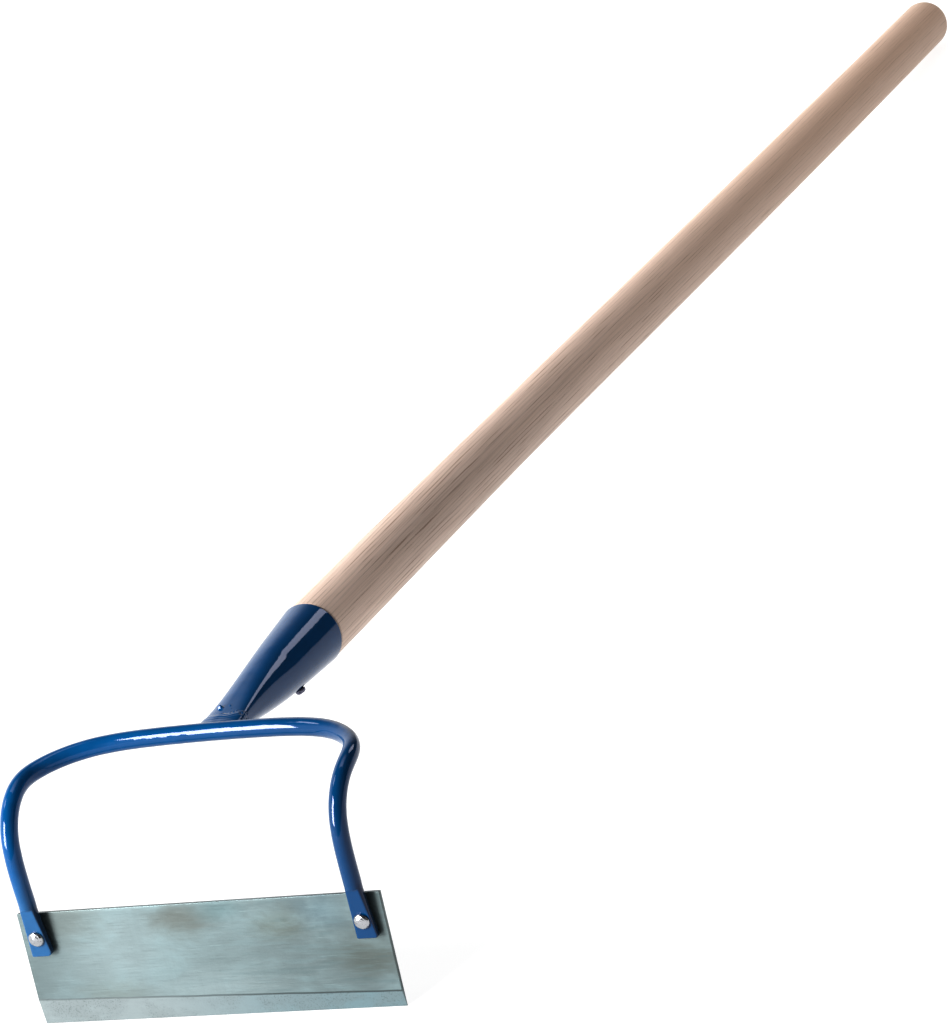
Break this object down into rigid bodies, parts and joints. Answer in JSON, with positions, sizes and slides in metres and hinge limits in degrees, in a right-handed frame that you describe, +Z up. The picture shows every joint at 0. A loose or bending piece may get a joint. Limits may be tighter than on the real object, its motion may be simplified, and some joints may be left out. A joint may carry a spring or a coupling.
{
  "type": "garden hoe",
  "caption": "Garden hoe with a wide flat blade riveted to a blue enamelled steel bow, whose welded socket holds a long straight ash handle.",
  "frame": {"origin": "bottom centre of the bounding box, on the floor that the tool lies on with its cutting edge and its handle's end", "axes": "+Z up, +Y from the blade along the handle, +X across the blade, to the right for someone who looks from the blade along the handle"},
  "size_m": [0.1792, 1.225, 0.1118],
  "materials": {
    "blue_enamel": "glossy mid-blue enamel, dipped, with soft runs at the weld",
    "blade_steel": "satin passivated steel, cloudy grey-green, with fine scratches along the blade",
    "zinc": "bright zinc plate, slightly dented by the hammer",
    "ash_wood": "sanded bare ash with fine dark grain lines"
  },
  "bodies": {
    "root": {"blade": "blade_steel", "bow": "blue_enamel", "rivet_left": "zinc", "rivet_right": "zinc", "socket": "blue_enamel", "weld_bead": "blue_enamel", "handle": "ash_wood", "handle_screw": "zinc"}
  },
  "joints": []
}
